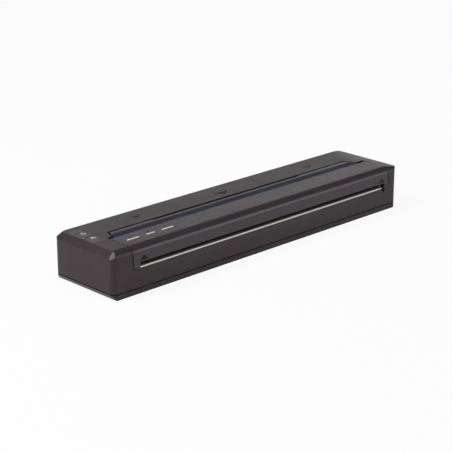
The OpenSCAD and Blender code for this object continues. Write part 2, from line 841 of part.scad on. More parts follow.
module reduction_gear() color(acetal_tint) {
    bore = axle_r + running;
    hub(plate_x1 + fit, gear_x0, reduction_at, hub_r, bore);
    spur_gear(small_teeth, small_turn, reduction_at, gear_x0, wheel_x0, bore);
    spur_gear(wheel_teeth, wheel_turn, reduction_at, wheel_x0, wheel_x1, bore);
}

module motor_pinion() color(brass_tint)
    spur_gear(pinion_teeth, pinion_turn, motor_at, wheel_x0, wheel_x1, axle_r);

module motor_shaft() color(steel_tint) rod(axle_r, plate_x0 - hub_r, wheel_x1 + clip_t, motor_at);

motor_boss_r = 3;
motor_flange_r = 1.9;
motor_ear = 10.8;
motor_ear_angles = [130, 310];
motor_flange_t = 1;
motor_cap_l = 2;

module motor_ears(r, x0, x1) {
    for (a = motor_ear_angles) rod(r, x0, x1, motor_at + polar(motor_ear, a));
}

module stepper_motor() color([0.6, 0.61, 0.62]) difference() {
    union() {
        rod(motor_r, plate_x0 - motor_l + motor_cap_l, plate_x0, motor_at);
        rod(motor_r - motor_cap_l / 2, plate_x0 - motor_l, plate_x0 - motor_l + motor_cap_l, motor_at);
        rod(motor_boss_r, plate_x0, plate_x1, motor_at);
        along_x(plate_x0 - motor_flange_t, plate_x0) motor_flange();
    }
    rod(axle_r + running, plate_x0 - hub_r - fit, plate_x1 + cut, motor_at);
    motor_ears(screw_r, plate_x0 - motor_flange_t - cut, plate_x0 + cut);
}

// Flange with an ear above and below the motor
module motor_flange() {
    reach = polar(motor_ear, motor_ear_angles[0]);
    side = polar(motor_flange_r, motor_ear_angles[0] + 90);
    polygon([motor_at + reach + side, motor_at - reach + side, motor_at - reach - side,
        motor_at + reach - side]);
    for (a = motor_ear_angles) translate(motor_at + polar(motor_ear, a)) circle(motor_flange_r);
}

module motor_screws() color(steel_tint) {
    motor_ears(screw_r, plate_x0 - motor_flange_t, plate_x1);
    motor_ears(head_r, plate_x1, plate_x1 + head_t);
}

module gear_axles() color(steel_tint) {
    rod(axle_r, plate_x0, gear_x1 + clip_room - fit, idler_at);
    rod(axle_r, plate_x0, wheel_x1 + clip_room, reduction_at);
}

module axle_clips() color(steel_tint) {
    hub(gear_x1 + seam, gear_x1 + seam + clip_t, idler_at, clip_r, axle_r);
    hub(wheel_x1 + seam, wheel_x1 + seam + clip_t, reduction_at, clip_r, axle_r);
}

// Steel frame: floor plate, two side plates and a rear foot under the motor
module chassis() color(steel_tint) difference() {
    union() {
        box([left_plate_x0, chassis_y0, chassis_z0], [plate_x1, chassis_y1, chassis_z1]);
        along_x(left_plate_x0, left_plate_x1) side_plate_outline();
        along_x(plate_x0, plate_x1) {
            side_plate_outline();
            motor_plate_outline();
        }
    }
    for (p = pad_places()) post(screw_r, chassis_z0 - cut, chassis_z1 + cut, p[0], p[1]);
    rod(hinge_pin_r, left_plate_x0 - cut, plate_x1 + cut, hinge_at);
    rod(pivot_pin_r, left_plate_x0 - cut, plate_x1 + cut, pivot_at);
    for (at = [idler_at, reduction_at]) rod(axle_r, plate_x0 - cut, plate_x1 + cut, at);
    rod(motor_boss_r, plate_x0 - cut, plate_x1 + cut, motor_at);
    motor_ears(screw_r, plate_x0 - cut, plate_x1 + cut);
}

module side_plate_outline() {
    difference() {
        union() {
            translate([chassis_y0, chassis_z0]) square([chassis_y1 - chassis_y0, side_z - chassis_z0]);
            polygon([[chassis_y0 + side_h, side_z - seam], [bay_y0, side_z - seam],
                pivot_at + [pivot_r, -pivot_r], pivot_at + [pivot_r, pivot_r], pivot_at + [0, pivot_r],
                hinge_at + [ear_r, ear_r], hinge_at + [-ear_r, ear_r],
                hinge_at + [-ear_r, -ear_r]]);
        }
        translate(platen_at) circle(platen_clear);
    }
}

module motor_plate_outline() {
    edge_y = motor_at[0] + motor_r - fit;
    polygon([[chassis_y1 - seam, chassis_z0], [edge_y, chassis_z0], [edge_y, motor_at[1] + motor_r],
        pivot_at + [pivot_r, 0], pivot_at - [0, pivot_r], [chassis_y1 - seam, side_z]]);
}

// Paper path
guide_rib_count = 6;
guide_rib_t = 1.2;
guide_t = 1.2;
guide_drop = 0.3;
guide_room = 0.5;

module lower_paper_guide() color(dark_tint) {
    x0 = left_plate_x1 + guide_room;
    x1 = plate_x0 - guide_room;
    y0 = y_front + ledge_d + tear_d + fit;
    y1 = (contact - head_low * head_along)[0] - guide_room;
    z1 = tear_z1 - guide_drop;
    rise = guide_t;
    along_x(x0, x1)
        polygon([[y0, z1 - rise], [y1, z1 - rise], [y1, z1 + guide_room], [y1 - rise, z1 + guide_room],
            [y1 - 2 * rise, z1], [y0, z1]]);
    for (i = [0:guide_rib_count - 1]) {
        x = x0 + (i + 1 / 2) * (x1 - x0 - guide_rib_t) / guide_rib_count;
        box([x, chassis_y0 + guide_rib_t, chassis_z1], [x + guide_rib_t, y1 - rise, z1 - rise / 2]);
    }
}

rear_guide_h = 2.2;
rear_guide_t = 1.2;

module rear_paper_guide() color(dark_tint) difference() {
    x0 = left_plate_x1 + guide_room;
    x1 = plate_x0 - guide_room;
    union() {
        box([x0, slot_y + seam, z_roof - rear_guide_h], [x1, slot_y + seam + rear_guide_t, z_roof]);
        box([x0, slot_y + seam, z_roof - rear_guide_t], [x1, slot_y + sill_d, z_roof]);
    }
    sensor_space(seam);
}

sensor_in = 51;
sensor_x = works_x1 - sensor_in;
sensor_w = 3.4;
sensor_d = 2;
sensor_h = 1.5;

module sensor_space(gap) {
    z0 = z_roof - rear_guide_h;
    box([sensor_x - sensor_w / 2 - gap, slot_y - gap, z0 - gap],
        [sensor_x + sensor_w / 2 + gap, slot_y + seam + sensor_d + gap, z0 + sensor_h + gap]);
}

module paper_sensor() color(dark_tint)
    box([sensor_x - sensor_w / 2, slot_y + seam, z_roof - rear_guide_h],
        [sensor_x + sensor_w / 2, slot_y + seam + sensor_d, z_roof - rear_guide_h + sensor_h]);

module tear_bar() color([0.8, 0.79, 0.77]) {
    y0 = y_front + ledge_d;
    along_x(mouth_x0 + fit, mouth_x1 - fit) polygon([[y0, tear_z0], [y0 + tear_d, tear_z0],
        [y0 + tear_d, tear_z0 + tear_t], [y0 + tear_d - 2 * tear_t, tear_z1], [y0, tear_z1]]);
}

// Points of the print head, a distance along and out from the contact line
function head_point(along, out) = contact + along * head_along + out * head_out;
head_x0 = left_plate_x1 + strip_inset;
head_x1 = plate_x0 - strip_inset;

module thermal_strip() color([0.86, 0.85, 0.8]) {
    along_x(head_x0, head_x1)
        polygon([head_point(-head_low, 0), head_point(driver_to + driver_t, 0),
            head_point(driver_to + driver_t, ceramic_t), head_point(-head_low, ceramic_t)]);
    along_x(head_x0 + cheek_t, head_x1 - cheek_t)
        polygon([head_point(driver_from, -driver_t), head_point(driver_to, -driver_t),
            head_point(driver_to + driver_t, 0), head_point(driver_to + driver_t, seam),
            head_point(driver_from - driver_t, seam), head_point(driver_from - driver_t, 0)]);
}

module head_heat_sink() color([0.7, 0.71, 0.72]) difference() {
    union() {
        along_x(head_x0, head_x1) {
            polygon([head_point(-head_low, ceramic_t), head_point(head_high, ceramic_t),
                head_point(head_high, ceramic_t + sink_t), head_point(-head_low, ceramic_t + sink_t)]);
            polygon([head_point(head_high / 2, ceramic_t + sink_t / 2), head_point(head_high, ceramic_t),
                pivot_at - [pivot_r, 0], pivot_at - [0, pivot_r], head_point(head_high, ceramic_t + sink_t)]);
            translate(pivot_at) circle(pivot_r);
        }
        for (x = spring_places()) post(spring_r + seam, spring_z1, spring_z1 + boss_h, x, spring_y);
    }
    rod(pivot_pin_r + running, head_x0 - cut, head_x0 + pivot_depth, pivot_at);
    rod(pivot_pin_r + running, head_x1 - pivot_depth, head_x1 + cut, pivot_at);
}

module head_pivot_pins() color(steel_tint) {
    rod(pivot_pin_r, left_plate_x0, head_x0 + pivot_depth - fit, pivot_at);
    rod(pivot_pin_r, head_x1 - pivot_depth + fit, plate_x1, pivot_at);
}

function spring_places() = [for (i = [0:spring_count - 1])
    platen_mid + (spring_count > 1 ? spring_span * (i / (spring_count - 1) - 1 / 2) : 0)];

// Compression springs as sleeves of the spring's outer and inner size
module head_springs() color(steel_tint) {
    for (x = spring_places()) difference() {
        post(spring_r, chassis_z1, spring_z1, x, spring_y);
        post(spring_r - spring_wire, chassis_z1 - cut, spring_z1 + cut, x, spring_y);
    }
}

// Battery, its bay and its door
module battery_bay() color(dark_tint) difference() {
    box([bay_x0, bay_y0, z_in], [bay_x1, bay_y1, bay_z1]);
    box([bay_x0 + bay_t, bay_in_y0, z_in - cut], [bay_x1 - bay_t, bay_in_y1, bay_z1 - bay_t]);
}

module battery_stick() color([0.2, 0.2, 0.24]) {
    at = [(bay_in_y0 + bay_in_y1) / 2, z_in + battery_lift + battery_d / 2];
    x0 = bay_x0 + bay_t;
    rod(battery_d / 2, x0 + cap_l, x0 + battery_l - cap_l, at);
    rod(battery_d / 2 - wall / 2, x0, x0 + cap_l, at);
    rod(battery_d / 2 - wall / 2, x0 + battery_l - cap_l, x0 + battery_l, at);
}

contact_w = 4;
contact_t = 0.4;
contact_h = 9;

module battery_contacts() color(brass_tint) {
    y = (bay_in_y0 + bay_in_y1) / 2;
    z = z_in + battery_lift + battery_d / 2;
    for (side = [-1, 1]) {
        box([bay_x1 - bay_t - contact_t, y + side * contact_w - contact_w / 3, z - contact_h / 2],
            [bay_x1 - bay_t, y + side * contact_w + contact_w / 3, z + contact_h / 2]);
        rod(contact_w / 4, bay_x0 + bay_t + battery_l, bay_x1 - bay_t - contact_t, [y + side * contact_w, z]);
    }
}

module battery_door() color(casing_tint) difference() {
    union() {
        box([door_x0, door_y0, z_floor], [door_x1, door_y1, z_in]);
        rod(door_axis_r, door_x0, door_x1, [door_y0, door_z]);
    }
    rod(door_pin_r + running, door_x0 - cut, door_x0 + door_pin_l / 2, [door_y0, door_z]);
    rod(door_pin_r + running, door_x1 - door_pin_l / 2, door_x1 + cut, [door_y0, door_z]);
    grip_y = door_y1 + grip_w / 2 - grip_d;
    post(grip_w / 2, z_floor - cut, z_floor + grip_sink, (door_x0 + door_x1) / 2, grip_y);
}

grip_sink = 0.8;

module door_pins() color(steel_tint) {
    rod(door_pin_r, door_x0 - fit - door_pin_l / 2, door_x0 + door_pin_l / 2 - fit, [door_y0, door_z]);
    rod(door_pin_r, door_x1 - door_pin_l / 2 + fit, door_x1 + fit + door_pin_l / 2, [door_y0, door_z]);
}

// Electronics
module main_board() color(board_tint) box([board_x0, board_y0, bay_z1], [board_x1, board_y1, board_z1]);

// Chips, coils and capacitors: place along and across, then length, depth and height, all as shares
board_d = board_y1 - board_y0;
board_room = z_roof - board_z1;
part_shares = [[0.08, 0.5, 0.54, 0.54, 0.22], [0.2, 0.35, 0.36, 0.36, 0.52], [0.28, 0.65, 0.3, 0.3, 0.28],
    [0.4, 0.5, 0.84, 0.66, 0.26], [0.52, 0.4, 0.48, 0.3, 0.19], [0.62, 0.5, 0.42, 0.42, 0.6],
    [0.72, 0.4, 0.6, 0.48, 0.26], [0.83, 0.5, 0.3, 0.48, 0.55], [0.93, 0.5, 0.36, 0.6, 0.62]];

module board_parts() color(dark_tint) {
    for (p = part_shares) {
        x = board_x0 + p[0] * (board_x1 - board_x0);
        y = board_y0 + p[1] * board_d;
        side = [p[2] * board_d / 2, p[3] * board_d / 2];
        box([x - side[0], y - side[1], board_z1], [x + side[0], y + side[1], board_z1 + p[4] * board_room]);
    }
}

ribbon_t = 0.3;
ribbon_l = 28;
ribbon_x = -30;

// Flat cable from the main board's front edge towards the print head
module head_ribbon() color([0.85, 0.83, 0.75]) {
    y0 = board_y0 - seam;
    x0 = ribbon_x;
    y1 = y0 + pivot_r + fit;
    along_x(x0, x0 + ribbon_l)
        polygon([[y1, board_z1], [y1, board_z1 + ribbon_t], [y0 - ribbon_t, board_z1 + ribbon_t],
            [y0 - ribbon_t, bay_z1], [y0, bay_z1], [y0, board_z1]]);
}

// Keys, their panel, board and switches
module key_openings() {
    along_z(z_top - panel_t, z_top + cut)
        round_rect(panel_cx - panel_w / 2, panel_cx + panel_w / 2, panel_y0, panel_y0 + panel_d,
            [key_r, key_r, key_r, key_r]);
    for (y = [key_y, power_y])
        along_z(z_roof - cut, z_top) key_outline(y, key_gap);
}

module key_outline(y, gap) {
    r = key_r + gap;
    round_rect(key_cx - key_w / 2 - gap, key_cx + key_w / 2 + gap, y - key_d / 2 - gap, y + key_d / 2 + gap,
        [r, r, r, r]);
}

module key_panel() color([0.24, 0.22, 0.23]) difference() {
    along_z(z_top - panel_t, z_top)
        round_rect(panel_cx - panel_w / 2 + running, panel_cx + panel_w / 2 - running, panel_y0 + running,
            panel_y0 + panel_d - running, [key_r, key_r, key_r, key_r]);
    for (y = [key_y, power_y]) along_z(z_top - panel_t - cut, z_top + cut) key_outline(y, key_gap);
}

module key_cap(y) {
    along_z(z_roof - fit, z_top - running) key_outline(y, 0);
    post(stem_r, stem_z, z_roof - fit, key_cx, y);
}

module power_key() color([0.24, 0.22, 0.23]) key_cap(power_y);

module feed_key() color([0.24, 0.22, 0.23]) key_cap(key_y);

module key_board() color(board_tint) difference() {
    box([key_cx - key_w / 2 - key_post_r, key_post_y[0] - key_post_r, key_board_z],
        [key_cx + key_w / 2 + key_post_r, key_post_y[1] + key_post_r, key_board_z + board_t]);
    for (y = key_post_y) post(stake_r, key_board_z - cut, key_board_z + board_t + cut, key_cx, y);
}

module key_switches() color(dark_tint) {
    for (y = [key_y, power_y]) {
        box([key_cx - switch_w / 2, y - switch_w / 2, key_board_z + board_t],
            [key_cx + switch_w / 2, y + switch_w / 2, key_board_z + board_t + switch_h - fit]);
        post(plunger_r, key_board_z + board_t, key_board_z + board_t + switch_h, key_cx, y);
    }
}

// Sockets
module port_board() color(board_tint)
    box([port_x0, port_y0, port_z], [x_right - wall - fit, port_y0 + port_w, port_z1]);

module power_jack() color(dark_tint) {
    at = [jack_y, port_z1 + jack_h / 2];
    difference() {
        box([x_right - port_set - jack_l, jack_y - jack_w / 2, port_z1],
            [x_right - port_set, jack_y + jack_w / 2, port_z1 + jack_h]);
        rod(jack_r, x_right - port_set - jack_l + wall, x_right + cut, at);
    }
    rod(jack_pin_r, x_right - port_set - jack_l + wall / 2, x_right - port_set - wall / 2, at);
}

module data_port() color(steel_tint) {
    x1 = x_right - port_set;
    y0 = data_y - data_w / 2;
    difference() {
        along_x(x1 - data_l, x1) data_outline(0);
        along_x(x1 - data_l + wall / 2, x1 + cut) data_outline(data_shell);
    }
    box([x1 - data_l + wall / 4, y0 + data_shell + data_h / 3, port_z1 + data_h / 2 - data_tongue_t / 2],
        [x1 - wall / 2, y0 + data_w - data_shell - data_h / 3, port_z1 + data_h / 2 + data_tongue_t / 2]);
}

module data_outline(inset) {
    r = data_h / 2 - inset;
    round_rect(data_y - data_w / 2 + inset, data_y + data_w / 2 - inset, port_z1 + inset,
        port_z1 + data_h - inset, [r, r, r, r]);
}

module socket_openings() {
    along_x(x_right - wall - cut, x_right + cut) {
        translate([jack_y - jack_w / 2 - seam, port_z1 - seam]) square([jack_w + 2 * seam, jack_h + 2 * seam]);
        offset_data();
    }
}

module offset_data() {
    r = data_h / 2 - seam;
    round_rect(data_y - data_w / 2 - seam, data_y + data_w / 2 + seam, port_z1 - seam, port_z1 + data_h + seam,
        [r, r, r, r]);
}

lead_w = 5;
lead_t = 1.2;

// Flat lead from the sockets along the floor to the battery bay
module port_lead() color(dark_tint) {
    y0 = port_y0 + (port_w - lead_w) / 2;
    x1 = port_x0 + lead_w;
    box([plate_x1 + fit, y0, z_in], [x1, y0 + lead_w, z_in + lead_t]);
    box([x1 - lead_t, y0, z_in + lead_t], [x1, y0 + lead_w, port_z]);
}

// Spring clips that hold the cover's cheeks down
clip_w = 6;
clip_strip_t = 0.4;

module latch_clips() color(steel_tint) {
    for (x = [left_plate_x1, plate_x0 - clip_strip_t])
        box([x, chassis_y0, chassis_z1], [x + clip_strip_t, chassis_y0 + clip_w, side_z + clip_strip_t]);
}

module chassis_screws() color(steel_tint) {
    for (p = pad_places()) {
        post(pilot_r, chassis_z0 - pad_h, chassis_z0, p[0], p[1]);
        post(screw_r, chassis_z0, chassis_z1, p[0], p[1]);
        post(head_r, chassis_z1, chassis_z1 + head_t, p[0], p[1]);
    }
}

module case_screws() color(steel_tint) {
    for (p = post_places()) difference() {
        union() {
            post(head_r, z_floor + head_inset, z_floor + head_t, p[0], p[1]);
            post(screw_r, z_floor + head_t - seam, z_case + lip_rise, p[0], p[1]);
            post(pilot_r, z_case + lip_rise - seam, z_case + lip_rise + pilot_depth - wall, p[0], p[1]);
        }
        cross_recess(p);
    }
}

head_inset = 0.2;
cross_l = 1.6;
cross_t = 0.4;
cross_depth = 0.6;

module cross_recess(p) {
    for (s = [[cross_l, cross_t], [cross_t, cross_l]])
        box([p[0] - s[0] / 2, p[1] - s[1] / 2, z_floor - cut],
            [p[0] + s[0] / 2, p[1] + s[1] / 2, z_floor + cross_depth]);
}

module feet() color([0.08, 0.08, 0.08]) {
    for (p = foot_places()) post(foot_d / 2, 0, z_floor + foot_sink, p[0], p[1]);
}

bottom_shell();
upper_casing();
release_cover();
guide_strip();
cover_frame();
indicator_lenses();
indicator_board();
platen_roller();
platen_shaft();
platen_gear();
platen_bushes();
hinge_pins();
chassis();
lower_paper_guide();
rear_paper_guide();
paper_sensor();
tear_bar();
thermal_strip();
head_heat_sink();
head_pivot_pins();
head_springs();
idler_gear();
reduction_gear();
motor_pinion();
motor_shaft();
stepper_motor();
motor_screws();
gear_axles();
axle_clips();
battery_bay();
battery_stick();
battery_contacts();
battery_door();
door_pins();
main_board();
board_parts();
head_ribbon();
key_panel();
power_key();
feed_key();
key_board();
key_switches();
port_board();
power_jack();
data_port();
port_lead();
latch_clips();
chassis_screws();
case_screws();
feet();
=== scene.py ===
"""A4 portable thermal printer: the looks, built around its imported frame. Lengths are in metres."""
import json
import math

import bmesh
import bpy
from mathutils import Matrix, Vector


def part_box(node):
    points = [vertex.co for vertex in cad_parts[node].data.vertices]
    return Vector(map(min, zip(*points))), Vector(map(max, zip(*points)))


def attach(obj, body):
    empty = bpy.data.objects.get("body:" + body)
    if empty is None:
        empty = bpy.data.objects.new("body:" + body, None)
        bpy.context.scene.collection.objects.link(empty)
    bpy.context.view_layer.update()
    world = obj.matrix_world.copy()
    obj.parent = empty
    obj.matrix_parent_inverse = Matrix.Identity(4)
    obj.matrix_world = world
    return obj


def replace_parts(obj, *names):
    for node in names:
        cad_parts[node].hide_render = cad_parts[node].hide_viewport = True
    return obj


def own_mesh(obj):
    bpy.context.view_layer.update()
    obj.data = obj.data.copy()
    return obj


MM = 0.001
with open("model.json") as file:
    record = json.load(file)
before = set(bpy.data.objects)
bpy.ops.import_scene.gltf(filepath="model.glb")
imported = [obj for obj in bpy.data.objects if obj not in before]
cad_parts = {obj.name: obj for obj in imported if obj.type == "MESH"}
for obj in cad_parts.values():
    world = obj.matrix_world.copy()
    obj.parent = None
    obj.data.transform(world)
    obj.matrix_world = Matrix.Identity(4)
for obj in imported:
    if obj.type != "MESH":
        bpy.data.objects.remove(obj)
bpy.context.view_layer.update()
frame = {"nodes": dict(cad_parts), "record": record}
scene = bpy.context.scene

# Reference levels and places, all read from the frame
case_lo, case_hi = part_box("upper_casing")
cover_lo, cover_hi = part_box("release_cover")
tear_lo, tear_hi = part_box("tear_bar")
spring_lo, spring_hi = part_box("head_springs")
door_lo, door_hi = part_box("battery_door")
port_lo, port_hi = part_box("data_port")
head_lo, head_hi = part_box("thermal_strip")
TOP = case_hi.z
FRONT = case_lo.y
SHELL_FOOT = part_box("bottom_shell")[0].z

# Turns a flat outline up into the plane of the front face
UPRIGHT = Matrix.Rotation(math.radians(90), 4, "X")
# How far a printed mark reaches to both sides of the face that it lies on
INK = 0.02 * MM


def camera():
    """The camera, from the fit of the photo's outline."""
    azimuth = math.radians(-43.98)
    elevation = math.radians(19.21)
    roll = math.radians(-0.06)
    focal_pixels = 1525.4
    frame_pixels = 452
    sensor_width = 36
    distance = 990.8 * MM
    shift_right = -7.22 * MM
    shift_up = 8.94 * MM
    back = Vector((math.sin(azimuth) * math.cos(elevation),
                   -math.cos(azimuth) * math.cos(elevation), math.sin(elevation)))
    right = Vector((math.cos(azimuth), math.sin(azimuth), 0))
    up = back.cross(right)
    place = right * shift_right + up * shift_up + back * distance + Vector((0, 0, SHELL_FOOT))
    turned_right = right * math.cos(roll) + up * math.sin(roll)
    turned_up = up * math.cos(roll) - right * math.sin(roll)
    data = bpy.data.cameras.new("camera")
    data.sensor_width = sensor_width
    data.lens = focal_pixels / frame_pixels * sensor_width
    data.clip_start, data.clip_end = 0.05, 30
    eye = bpy.data.objects.new("camera", data)
    scene.collection.objects.link(eye)
    eye.matrix_world = Matrix.Translation(place) @ Matrix(
        (turned_right, turned_up, back)).transposed().to_4x4()
    scene.camera = eye


# Small helpers for node trees
def new_material(name):
    material = bpy.data.materials.new(name)
    material.use_nodes = True
    tree = material.node_tree
    tree.nodes.clear()
    output = tree.nodes.new("ShaderNodeOutputMaterial")
    shader = tree.nodes.new("ShaderNodeBsdfPrincipled")
    tree.links.new(shader.outputs["BSDF"], output.inputs["Surface"])
    return material, tree, shader


def linear(colour):
    """An sRGB colour of 0 to 255, as linear light."""
    return tuple(((c / 255 + 0.055) / 1.055) ** 2.4 if c > 10 else c / 255 / 12.92 for c in colour)


def scaled(colour, factor):
    return tuple(c * factor for c in colour)


def place_node(tree, stretch=(1, 1, 1)):
    """The place on the object, with its axes stretched."""
    coords = tree.nodes.new("ShaderNodeTexCoord")
    mapping = tree.nodes.new("ShaderNodeMapping")
    mapping.inputs["Scale"].default_value = stretch
    tree.links.new(coords.outputs["Object"], mapping.inputs["Vector"])
    return mapping.outputs["Vector"]


def noise(tree, place, size, detail=3.0, roughness=0.55):
    """Noise whose features are about this size."""
    node = tree.nodes.new("ShaderNodeTexNoise")
    node.inputs["Scale"].default_value = 1 / size
    node.inputs["Detail"].default_value = detail
    node.inputs["Roughness"].default_value = roughness
    tree.links.new(place, node.inputs["Vector"])
    return node.outputs["Fac"]


# Band in which most of a noise's values lie
NOISE_BAND = (0.3, 0.7)


def ranged(tree, value, low, high, band=NOISE_BAND):
    """Spread a band of values over the range from low to high."""
    node = tree.nodes.new("ShaderNodeMapRange")
    node.inputs["From Min"].default_value, node.inputs["From Max"].default_value = band
    node.inputs["To Min"].default_value = low
    node.inputs["To Max"].default_value = high
    tree.links.new(value, node.inputs["Value"])
    return node.outputs["Result"]


def plug(tree, socket, value):
    """Link a socket to another one, or set it to a plain value."""
    if isinstance(value, bpy.types.NodeSocket):
        tree.links.new(value, socket)
    else:
        socket.default_value = value


def mixed(tree, share, first, second):
    """A blend of two colours, each a socket or linear light."""
    node = tree.nodes.new("ShaderNodeMix")
    node.data_type = "RGBA"
    first_colour, second_colour, blend = node.inputs[6], node.inputs[7], node.outputs[2]
    for socket, colour in ((first_colour, first), (second_colour, second)):
        plug(tree, socket, (*colour, 1) if isinstance(colour, tuple) else colour)
    tree.links.new(share, node.inputs["Factor"])
    return blend


def bumped(tree, shader, height, depth, strength=1.0, under=None):
    """Bump on a shader, over the bump under it where there is one."""
    node = tree.nodes.new("ShaderNodeBump")
    node.inputs["Distance"].default_value = depth
    node.inputs["Strength"].default_value = strength
    tree.links.new(height, node.inputs["Height"])
    if under is not None:
        tree.links.new(under, node.inputs["Normal"])
    tree.links.new(node.outputs["Normal"], shader.inputs["Normal"])
    return node.outputs["Normal"]


def surface(tree, shader, colour, rough, level=None):
    """Link a shader's colour and roughness, and set its specular level if one is given."""
    tree.links.new(colour, shader.inputs["Base Color"])
    tree.links.new(rough, shader.inputs["Roughness"])
    if level is not None:
        shader.inputs["Specular IOR Level"].default_value = level


# Materials
def moulded(name, colour, rough=0.45, spread=0.04, level=0.5, grain=0.35, depth=0.02, tint=0.09,
            warm=0.0):
    """Moulded plastic with a spark-eroded grain, faint flow marks and uneven gloss."""
    flow_size, flow_stretch = 30 * MM, (0.35, 1, 1)
    gloss_size = 9 * MM
    pit_share, pit_shade = 0.35, 0.72
    coarse_grain, coarse_depth = 4 * grain * MM, 1.4 * depth * MM
    material, tree, shader = new_material(name)
    base = linear(colour)
    place = place_node(tree)
    flow = noise(tree, place_node(tree, flow_stretch), flow_size, 4)
    darker = tuple(c * (1 - tint) * w for c, w in zip(base, (1 + warm, 1, 1 - warm)))
    lighter = tuple(c * (1 + tint) * w for c, w in zip(base, (1 - warm / 2, 1, 1 + warm)))
    fine = noise(tree, place, grain * MM, 2)
    broad = mixed(tree, ranged(tree, flow, 0, 1), darker, lighter)
    speck = mixed(tree, ranged(tree, fine, 0, pit_share), broad, scaled(base, pit_shade))
    gloss = ranged(tree, noise(tree, place, gloss_size, 5), rough - spread, rough + spread)
    surface(tree, shader, speck, gloss, level)
    coarse = bumped(tree, shader, noise(tree, place, coarse_grain, 3), coarse_depth, 0.5)
    bumped(tree, shader, fine, depth * MM, 0.8, coarse)
    return material


def metal(name, colour, rough=0.3, lines=(1, 30, 30), size=0.004, depth=0.004):
    """Metal with fine tool marks drawn out along one axis."""
    patch_size = 12 * MM
    material, tree, shader = new_material(name)
    base = linear(colour)
    place = place_node(tree, lines)
    marks = noise(tree, place, size, 5, 0.65)
    patches = noise(tree, place_node(tree), patch_size, 3)
    shade = mixed(tree, ranged(tree, marks, 0, 1), scaled(base, 0.8), base)
    worn = mixed(tree, ranged(tree, patches, 0, 0.3), shade, scaled(base, 0.86))
    surface(tree, shader, worn, ranged(tree, marks, rough - 0.06, rough + 0.1))
    shader.inputs["Metallic"].default_value = 1
    bumped(tree, shader, marks, depth * MM, 0.6)
    return material


def rubber(name, colour, size=0.0006, depth=0.02, rough=0.75):
    """Matt rubber with a fine grain and a little dust."""
    dust_size = 8 * MM
    dust_lift = 0.01
    material, tree, shader = new_material(name)
    base = linear(colour)
    place = place_node(tree)
    fine = noise(tree, place, size, 4, 0.6)
    dust = noise(tree, place, dust_size, 4)
    dusty = tuple(c * 1.8 + dust_lift for c in base)
    surface(tree, shader, mixed(tree, ranged(tree, dust, 0, 0.25), base, dusty),
            ranged(tree, fine, rough - 0.08, rough + 0.08), 0.35)
    bumped(tree, shader, fine, depth * MM, 0.7)
    return material


def circuit_board(name):
    """Green solder mask with copper tracks under it and small pads."""
    mask, lighter_mask, track, gold = (22, 78, 46), (26, 88, 52), (40, 118, 72), (178, 150, 92)
    tracks_per_metre, track_share = 260, 0.035
    pads_per_metre, pad_radius = 420, 0.16
    gloss_size = 4 * MM
    track_depth = 0.03 * MM
    material, tree, shader = new_material(name)
    place = place_node(tree)
    tracks = tree.nodes.new("ShaderNodeTexBrick")
    tracks.inputs["Scale"].default_value = tracks_per_metre
    tracks.inputs["Mortar Size"].default_value = track_share
    for socket, colour in (("Color1", mask), ("Color2", lighter_mask), ("Mortar", track)):
        tracks.inputs[socket].default_value = (*linear(colour), 1)
    tree.links.new(place, tracks.inputs["Vector"])
    pads = tree.nodes.new("ShaderNodeTexVoronoi")
    pads.inputs["Scale"].default_value = pads_per_metre
    tree.links.new(place, pads.inputs["Vector"])
    pad = joined(tree, "LESS_THAN", pads.outputs["Distance"], pad_radius)
    surface(tree, shader, mixed(tree, pad, tracks.outputs["Color"], linear(gold)),
            ranged(tree, noise(tree, place, gloss_size), 0.26, 0.4))
    bumped(tree, shader, tracks.outputs["Fac"], track_depth, 0.6)
    return material


def printed(name, colour, rough=0.5, level=0.5):
    """Pad-printed ink, slightly thin in places."""
    patch_size = 0.7 * MM
    ink_depth = 0.006 * MM
    material, tree, shader = new_material(name)
    base = linear(colour)
    thin = noise(tree, place_node(tree), patch_size, 4)
    surface(tree, shader, mixed(tree, ranged(tree, thin, 0, 0.4), base, scaled(base, 0.8)),
            ranged(tree, thin, rough - 0.05, rough + 0.1), level)
    bumped(tree, shader, thin, ink_depth, 0.5)
    return material


def smoked_lens(name):
    """Dark clear plastic over an unlit indicator."""
    dark, light = (16, 13, 15), (24, 21, 23)
    cloud_size, gloss_size = 0.6 * MM, 0.3 * MM
    material, tree, shader = new_material(name)
    place = place_node(tree)
    cloud = ranged(tree, noise(tree, place, cloud_size), 0, 1)
    surface(tree, shader, mixed(tree, cloud, linear(dark), linear(light)),
            ranged(tree, noise(tree, place, gloss_size), 0.3, 0.4), 0.22)
    return material


def ceramic(name, colour):
    """Glossy ceramic, faintly clouded."""
    cloud_size, grain_size = 5 * MM, 0.8 * MM
    grain_depth = 0.004 * MM
    material, tree, shader = new_material(name)
    base = linear(colour)
    place = place_node(tree)
    cloud = noise(tree, place, cloud_size, 4)
    surface(tree, shader, mixed(tree, ranged(tree, cloud, 0, 0.5), base, scaled(base, 0.88)),
            ranged(tree, cloud, 0.12, 0.26))
    bumped(tree, shader, noise(tree, place, grain_size), grain_depth, 0.4)
    return material


def wrap(name, colour):
    """Shrink sleeve over the battery cells, faintly wrinkled."""
    fold_size, fold_stretch = 6 * MM, (1, 3, 3)
    fold_depth = 0.08 * MM
    material, tree, shader = new_material(name)
    base = linear(colour)
    folds = noise(tree, place_node(tree, fold_stretch), fold_size, 5, 0.6)
    surface(tree, shader, mixed(tree, ranged(tree, folds, 0, 0.4), base, scaled(base, 1.5)),
            ranged(tree, folds, 0.2, 0.34))
    bumped(tree, shader, folds, fold_depth, 0.5)
    return material


